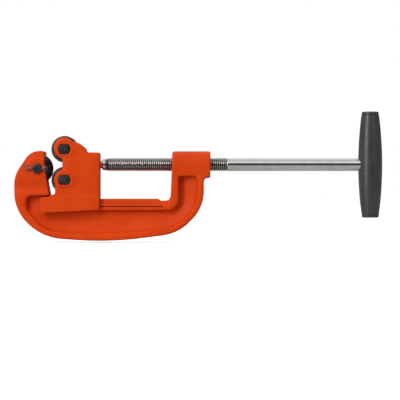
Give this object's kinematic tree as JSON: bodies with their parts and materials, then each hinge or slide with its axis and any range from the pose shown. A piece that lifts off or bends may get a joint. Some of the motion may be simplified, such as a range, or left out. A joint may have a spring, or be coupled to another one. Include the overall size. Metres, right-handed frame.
{
  "type": "pipe cutter",
  "caption": "Screw-feed pipe cutter: a cast yoke with a cutter wheel, a sliding carrier with two guide rollers, and a threaded feed screw with a cross grip.",
  "frame": {"origin": "the point where the cutter wheel's edge meets the feed screw's line, which is where the tool grips a pipe", "axes": "+X along the feed screw from the jaw to the grip, +Y away from the side with the pin heads, +Z from the bow to the rollers"},
  "size_m": [0.3742, 0.04, 0.1314],
  "materials": {
    "orange_enamel": "glossy enamel over a sand casting",
    "black_steel": "hardened and black-oxided",
    "dark_steel": "phosphated, slightly rough",
    "bright_steel": "bright zinc plate",
    "black_plastic": "moulded, fine satin texture"
  },
  "bodies": {
    "yoke": {"frame": "orange_enamel", "cutter_wheel_pin": "dark_steel", "cutter_wheel_split_pin": "bright_steel"},
    "carrier": {"roller_carrier": "orange_enamel", "upper_roller_pin": "dark_steel", "upper_pin_washer": "bright_steel", "upper_pin_clip": "black_steel", "lower_roller_pin": "dark_steel", "lower_pin_washer": "bright_steel", "lower_pin_clip": "black_steel", "screw_thrust_disc": "dark_steel", "near_retaining_pin": "dark_steel", "far_retaining_pin": "dark_steel"},
    "screw": {"feed_screw": "bright_steel", "handle_cross_bar": "dark_steel", "handle_roll_pin": "dark_steel", "handle_grip": "black_plastic"},
    "wheel": {"cutter_wheel": "black_steel"},
    "top_roller": {"upper_roller": "black_steel"},
    "bottom_roller": {"lower_roller": "black_steel"}
  },
  "joints": [
    {"name": "carrier_slide", "type": "slide", "parent": "yoke", "child": "carrier", "axis": [1, 0, 0], "range_m": [0, 0.066]},
    {"name": "screw_turn", "type": "hinge", "parent": "carrier", "child": "screw", "pos_m": [0.1, 0, 0], "axis": [1, 0, 0], "range_deg": [0, 11880]},
    {"name": "wheel_spin", "type": "hinge", "parent": "yoke", "child": "wheel", "pos_m": [-0.0155, 0, -0.0042], "axis": [0, 1, 0], "continuous": true},
    {"name": "upper_roller_spin", "type": "hinge", "parent": "carrier", "child": "top_roller", "pos_m": [0.01192, 0, 0.0156], "axis": [0, 1, 0], "continuous": true},
    {"name": "lower_roller_spin", "type": "hinge", "parent": "carrier", "child": "bottom_roller", "pos_m": [0.01192, 0, -0.0156], "axis": [0, 1, 0], "continuous": true}
  ],
  "couplings": [
    {"joint": "carrier_slide", "follows": "screw_turn", "m_per_rad": 0.00031831}
  ]
}
